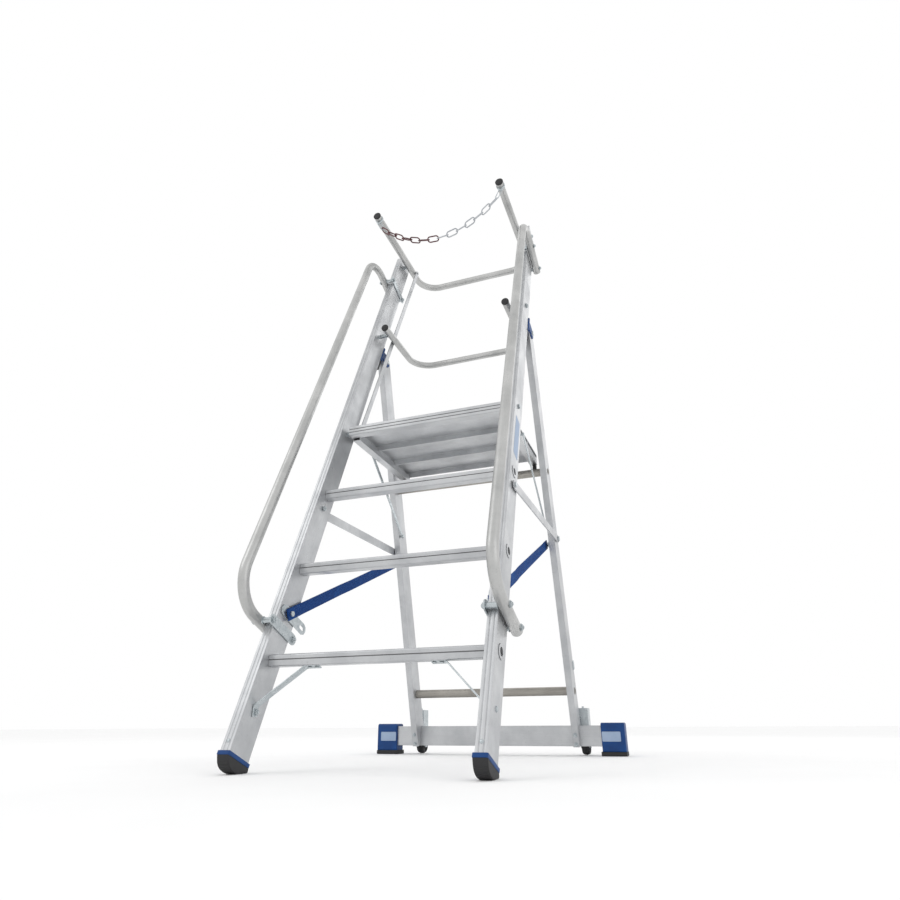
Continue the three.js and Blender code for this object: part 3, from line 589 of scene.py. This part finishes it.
def chain_hook(side, sign):
    """A ring clamp round the guard rail's arm, with its screw, and the wire eye that holds the chain."""
    rail = leaning(0, TOP_BOW["pivot"], PIVOT_INSET).z
    r = TOP_BOW["radius"] + 0.0012
    centre = floor_point(sign * TOP_BOW["half"], CHAIN["y"], rail)
    shape = Shape()
    ring = [centre + Vector((math.sin(t), 0, math.cos(t))) * r for t in
            [2 * math.pi * i / 40 for i in range(40)]]
    shape.sweep(ring, rounded(0.009, 0.0022, 0.0008), (0, 1, 0), loop=True)
    below = centre - Z * (r + 0.001)
    shape.plate([below + Vector((0, y, z)) for y, z in rounded(0.009, 0.014, 0.003)],
                sign * TOP_BOW["half"] - 0.003, sign * TOP_BOW["half"] + 0.003)
    shape.nut(below - Z * 0.003 - X * 0.003, -X, 0.0045, 0.004)
    shape.turn(below - Z * 0.003 + X * 0.003, X, [(0, 0.005), (0.003, 0.005), (0.004, 0.0035)], 24)
    end = floor_point(sign * (CHAIN["half"] - 0.006), CHAIN["y"], CHAIN["hang"] - 0.004)
    start = below - Z * 0.004
    ahead = (end - start).normalized()
    across = ahead.cross(Vector((0, 1, 0)))
    path = link_path((start + end) / 2, ahead, across, (end - start).length / 2 + 0.002, 0.0062)
    shape.sweep(path, circle(0.0017, 10), Vector((0, 1, 0)), loop=True)
    piece(f"chain_hook_{side}", shape, "guard_rail", ["zinc"])


# ---------------------------------------------------------------- straps
STRAP_START = leaning(0, STRAP["s"], STRAP["d"])
STRAP_END = floor_point(0, STRAP["y"], STRAP["z"])
STRAP_RUN = (STRAP_END - STRAP_START).normalized()
STRAP_ANGLE = math.atan2(STRAP_RUN.z, STRAP_RUN.y)
FINISH["webbing"] = woven("blue_webbing", -STRAP_ANGLE)


def strap_point(sign, distance, proud=0.0):
    """A point on a strap's middle line. The rear half lies a little further in than the front half."""
    turn = min(max((distance - STRAP["knee"] + 0.03) / 0.06, 0), 1)
    x = STRAP["x"] + (STRAP["rear_x"] - STRAP["x"]) * turn * turn * (3 - 2 * turn) - proud
    return STRAP_START + STRAP_RUN * distance + X * sign * x


def strap(side, sign):
    """One webbing strap, folded back and sewn at both ends."""
    whole = (STRAP_END - STRAP_START).length
    width, thick = STRAP["width"], STRAP["thick"]
    shape = Shape()
    steps = 90
    path = [strap_point(sign, -0.012 + (whole + 0.024) * i / steps) for i in range(steps + 1)]
    shape.sweep(path, rounded(thick, width, 0.0009, 3), X)
    for start, end in ((-0.0125, 0.046), (whole - 0.046, whole + 0.0125)):
        flap = [strap_point(sign, start + (end - start) * i / 8, thick * 0.95) for i in range(9)]
        shape.sweep(flap, rounded(thick * 0.9, width * 0.97, 0.0009, 3), X)
        sewn = (0.016, 0.043) if start < 0 else (whole - 0.043, whole - 0.016)
        stitches(shape, sign, sewn, thick * 1.5)
    obj = piece(f"strap_webbing_{side}", shape, None, ["webbing", "thread"],
                [f"strap_front_{side}", f"strap_rear_{side}"])
    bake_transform(obj)


def stitches(shape, sign, reach, proud):
    """A sewn box with a cross, as short raised threads."""
    up = X.cross(STRAP_RUN)
    edge = 0.011
    corners = [(reach[0], -edge), (reach[1], -edge), (reach[1], edge), (reach[0], edge)]
    lines = list(zip(corners, corners[1:] + corners[:1]))
    lines += [(corners[0], corners[2]), (corners[1], corners[3])]
    for (a, low), (b, high) in lines:
        count = max(int(math.hypot(b - a, high - low) / 0.0036), 2)
        for i in range(count):
            path = []
            for part in (0.1, 0.4, 0.7):
                t = (i + part) / count
                lift = proud + (0.0004 if part == 0.4 else 0)
                path.append(strap_point(sign, a + (b - a) * t, lift) + up * (low + (high - low) * t))
            shape.sweep(path, circle(0.00045, 6), X, paint=1)


# ---------------------------------------------------------------- feet, braces and end caps
def shoe(side, sign):
    """Black rubber foot with tread ribs round its toe, under a blue collar."""
    top = 0.043
    front, back = leaning(0, top, -0.0035), leaning(0, top, STILE_DEPTH + 0.003)
    toe, mid, flat = floor_point(0, 0.016, 0.027), floor_point(0, 0.020, 0.008), floor_point(0, 0.052, 0)
    curve = []
    for i in range(13):
        t = i / 12
        curve.append(toe * (1 - t) ** 2 + mid * 2 * t * (1 - t) + flat * t * t)
    outline = [front, *curve, floor_point(0, 0.088, 0), back]
    low, high = sorted((sign * (INNER - 0.003), sign * (OUTER + 0.003)))
    shape = Shape()
    shape.plate(outline, low, high)
    piece(f"shoe_rubber_{side}", shape, "front_frame", ["rubber"],
          [f"front_shoe_{side}"], 0.0022)
    ribs = Shape()
    for point in curve[1:10:2]:
        centre = point + Vector((0, 0.0004, 0.0004))
        ribs.sweep([centre + X * (low + 0.003), centre + X * (high - 0.003)], circle(0.0013, 12), Z)
    piece(f"shoe_tread_{side}", ribs, "front_frame", ["rubber"])
    collar = Shape()
    base = leaning(sign * (INNER + OUTER) / 2, 0, STILE_DEPTH / 2 - 0.0002)
    section = rounded(OUTER - INNER + 0.0072, STILE_DEPTH + 0.0078, 0.003)
    collar.sweep([base + ALONG * s for s in (top - 0.001, 0.051)], section, X)
    piece(f"shoe_collar_{side}", collar, "front_frame", ["blue"], bevel=0.0012)


def brace(side, sign):
    """Flat bar from the stile to the first rung, bent flat against both and bolted."""
    foot = leaning(0, 0.151, 0.038)
    tread = leaning(0, RUNGS[0], RUNG["inset"])
    under = tread.z - RUNG["half_height"] - GAP
    thick = 0.0028
    wall = sign * (INNER - GAP - thick / 2)
    low = Vector((wall, foot.y, foot.z - 0.011))
    bend_low = Vector((wall, foot.y, foot.z + 0.012))
    bend_high = Vector((sign * 0.176, tread.y - 0.002, under - thick / 2))
    high = Vector((sign * 0.140, tread.y - 0.002, under - thick / 2))
    shape = Shape()
    shape.sweep(bent([low, bend_low, bend_high, high], 0.010, 6), rounded(0.020, thick, 0.001, 2), (0, 1, 0))
    shape.nut(Vector((sign * (INNER - 0.003), foot.y, foot.z - 0.001)), -X * sign, 0.0070)
    for x in (0.147, 0.165):
        shape.turn(Vector((sign * x, tread.y - 0.002, under - thick)), -Z,
                   [(-0.0005, 0.0056), (0.0014, 0.0052), (0.0026, 0.0034)], 24)
    piece(f"brace_bar_{side}", shape, "front_frame", ["zinc"],
          [f"rung_brace_{side}"], 0.0004)


def end_cap(side, sign):
    """Blue cap over the end of the bar, with a thin plain panel and a ribbed black sole."""
    low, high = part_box(f"end_cap_{side}")
    middle = (low + high) / 2
    size = high - low
    shape = Shape()
    section = rounded(size.y, size.z, 0.008, 6)
    shape.sweep([Vector((x, middle.y, middle.z)) for x in (low.x, high.x)], section, (0, 1, 0))
    piece(f"bar_cap_{side}", shape, "rear_frame", ["blue"], [f"end_cap_{side}"], 0.003)
    panel = Shape()
    centre = Vector((middle.x - sign * 0.006, low.y - 0.0004, middle.z + 0.003))
    panel.sweep([centre, centre - Vector((0, 0.0008, 0))], rounded(0.060, 0.030, 0.003), X)
    piece(f"bar_cap_panel_{side}", panel, "rear_frame", ["label"], bevel=0.0003)
    low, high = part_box(f"cap_sole_{side}")
    middle = (low + high) / 2
    sole = Shape()
    section = rounded(high.y - low.y, high.z - low.z + 0.003, 0.004, 5)
    sole.sweep([Vector((x, middle.y, middle.z + 0.0015)) for x in (low.x, high.x)], section, (0, 1, 0))
    for i in range(7):
        x = low.x + 0.008 + (high.x - low.x - 0.016) * i / 6
        sole.sweep([Vector((x, y, 0.0012)) for y in (low.y + 0.004, high.y - 0.004)], circle(0.0012, 10), X)
    piece(f"bar_cap_tread_{side}", sole, "rear_frame", ["rubber"],
          [f"cap_sole_{side}"], 0.0015)


# ---------------------------------------------------------------- castors
def castor(side, sign):
    """A wheel with a rounded tyre and a hub, and the spring that pushes it down."""
    hub = floor_point(sign * CASTOR["x"], CASTOR["y"], CASTOR["z"])
    half, radius = CASTOR["half"], CASTOR["radius"]
    profile = [(-half + 0.0034, 0.010), (-half + 0.0030, 0.0228), (-half + 0.0004, 0.0242), (-half, 0.0262)]
    for i in range(9):
        t = math.pi * i / 8
        profile.append((-half * math.cos(t) * 0.92, radius - 0.0035 + 0.0035 * math.sin(t)))
    profile += [(-h, r) for h, r in reversed(profile[:4])]
    wheel = Shape()
    wheel.turn(hub, X, profile, 56)
    boss = [(-half, 0.0085), (-half + 0.001, 0.0092), (half - 0.001, 0.0092), (half, 0.0085)]
    wheel.turn(hub, X, boss, 40, 1)
    for i in range(6):
        t = 2 * math.pi * i / 6
        spoke = Vector((0, math.cos(t), math.sin(t)))
        wheel.sweep([hub + spoke * 0.008, hub + spoke * 0.0235], rounded(half * 1.72, 0.003, 0.0008, 2), X)
    piece(f"wheel_tyre_{side}", wheel, f"wheel_{side}", ["rubber", "zinc"],
          [f"castor_wheel_{side}"])
    top, bottom, turns, steps = 0.144, 0.094, 7, 20
    coil, wire, offset = 0.0085, 0.0013, 0.010
    spring = Shape()
    path = []
    for i in range(turns * steps + 1):
        t = 2 * math.pi * i / steps
        x = sign * CASTOR["x"] + coil * math.cos(t)
        y = CASTOR["y"] - offset + coil * math.sin(t)
        path.append(floor_point(x, y, bottom + (top - bottom) * i / (turns * steps)))
    spring.sweep(path, circle(wire, 10), Z)
    obj = piece(f"castor_spring_{side}", spring, None, ["zinc"])
    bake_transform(obj)


# ---------------------------------------------------------------- small parts
def tread_ribs():
    """Raised non-slip ribs on the deck and on the rungs."""
    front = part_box("platform_front_profile")[0].y
    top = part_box("platform_plank_1")[1].z
    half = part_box("platform_plank_1")[1].x - 0.004
    for i in range(3):
        near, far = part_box(f"platform_plank_{i + 1}")
        ribs = Shape()
        count = int((far.y - near.y - 0.010) / 0.0085)
        for k in range(count + 1):
            y = near.y + 0.005 + (far.y - near.y - 0.010) * k / count
            ribs.sweep([Vector((x, y, top)) for x in (-half, half)], circle(0.0010, 8), Z)
        piece(f"deck_ribs_{i + 1}", ribs, "platform", ["deck"])
    edge = Shape()
    for k in range(3):
        y = front + 0.006 + 0.008 * k
        edge.sweep([Vector((x, y, top)) for x in (-half, half)], circle(0.0010, 8), Z)
    piece("deck_edge_ribs", edge, "platform", ["across"])
    for i, s in enumerate(RUNGS):
        centre = leaning(0, s, RUNG["inset"])
        tread = centre.z + RUNG["half_height"]
        ribs = Shape()
        for k in range(4):
            y = centre.y - 0.0105 + 0.007 * k
            line = [Vector((x, y, tread)) for x in (-INNER + 0.004, INNER - 0.004)]
            ribs.sweep(line, circle(0.0009, 8), Z)
        piece(f"rung_ribs_{i + 1}", ribs, "front_frame", ["across"])


def fasteners(side, sign):
    """Rivets on the stiles' faces and the bolts that hold the legs to the bar."""
    rivets = Shape()
    x = sign * (INNER + OUTER) / 2
    dome = [(-0.001, 0.0042), (0.0006, 0.0042), (0.0014, 0.0034), (0.0018, 0.0018)]
    for s in (0.072, 2.100):
        rivets.turn(leaning(x, s, 0), -INTO, dome, 24)
    head = [(-0.001, 0.0065), (0.002, 0.0062), (0.0035, 0.004)]
    rivets.turn(leaning(sign * OUTER, 0.150, 0.038), X * sign, head, 28)
    piece(f"stile_rivets_{side}", rivets, "front_frame", ["zinc"])
    bolts = Shape()
    for height in (0.073, 0.044):
        down = (HINGE.z - height) / math.cos(REAR_LEAN)
        bolts.nut(on_leg(sign * (LEG_INNER + OUTER) / 2, down, -0.033), -BEHIND_LEG, 0.0055, 0.0045)
    piece(f"leg_bolts_{side}", bolts, "rear_frame", ["zinc"])


def stile_label():
    """Plain panel on the right stile, where makers put their instructions."""
    panel = Shape()
    centre = leaning(0, LABEL["s"], LABEL["d"])
    section = rounded(LABEL["width"], LABEL["length"], 0.004)
    outline = [centre + ALONG * b + INTO * a for a, b in section]
    panel.plate(outline, OUTER + 0.0001, OUTER + 0.0004)
    piece("stile_label", panel, "front_frame", ["label"])


# ---------------------------------------------------------------- floor and light
def stage_and_light():
    n = Nodes("pale_floor")
    clouds = n.noise(n.coords, 2.0, 3.0)
    colour = n.mix(n.between(clouds, 0.0, 1.0), (0.93, 0.93, 0.93), (0.96, 0.96, 0.96))
    n.put(Base_Color=colour, Roughness=0.9)
    mesh = bpy.data.meshes.new("floor")
    reach, level = 30, -0.0005
    corners = [(-reach, -reach, level), (reach, -reach, level), (reach, reach, level), (-reach, reach, level)]
    mesh.from_pydata(corners, [], [(0, 1, 2, 3)])
    mesh.materials.append(n.material)
    floor = bpy.data.objects.new("floor", mesh)
    bpy.context.scene.collection.objects.link(floor)
    world = bpy.data.worlds.new("studio")
    bpy.context.scene.world = world
    world.use_nodes = True
    background = world.node_tree.nodes["Background"]
    background.inputs["Color"].default_value = (1.0, 1.0, 1.0, 1)
    background.inputs["Strength"].default_value = 1.0
    aim = Vector((0, 0, 1))
    lamps = (
        ("key", (-2.6, -2.6, 3.6), 2.6, 22),
        ("fill", (3.0, -1.6, 1.6), 2.4, 7),
        ("back", (0.5, 3.5, 3.2), 2.8, 12),
    )
    for name, place, size, power in lamps:
        lamp = bpy.data.lights.new(name, "AREA")
        lamp.size = size
        lamp.energy = power
        obj = bpy.data.objects.new(name, lamp)
        obj.location = place
        obj.rotation_euler = (aim - Vector(place)).to_track_quat("-Z", "Y").to_euler()
        bpy.context.scene.collection.objects.link(obj)
    bpy.context.scene.view_settings.view_transform = "Standard"


make_camera()
dress_frame()
for side_name, direction in SIDES.items():
    handrail(side_name, direction)
    clamp(side_name, direction, "bottom")
    clamp(side_name, direction, "top")
    strap(side_name, direction)
    shoe(side_name, direction)
    brace(side_name, direction)
    end_cap(side_name, direction)
    castor(side_name, direction)
    fasteners(side_name, direction)
bow("guard_rail", TOP_BOW)
bow("knee_rail", KNEE_BOW)
chain()
tread_ribs()
stile_label()
stage_and_light()
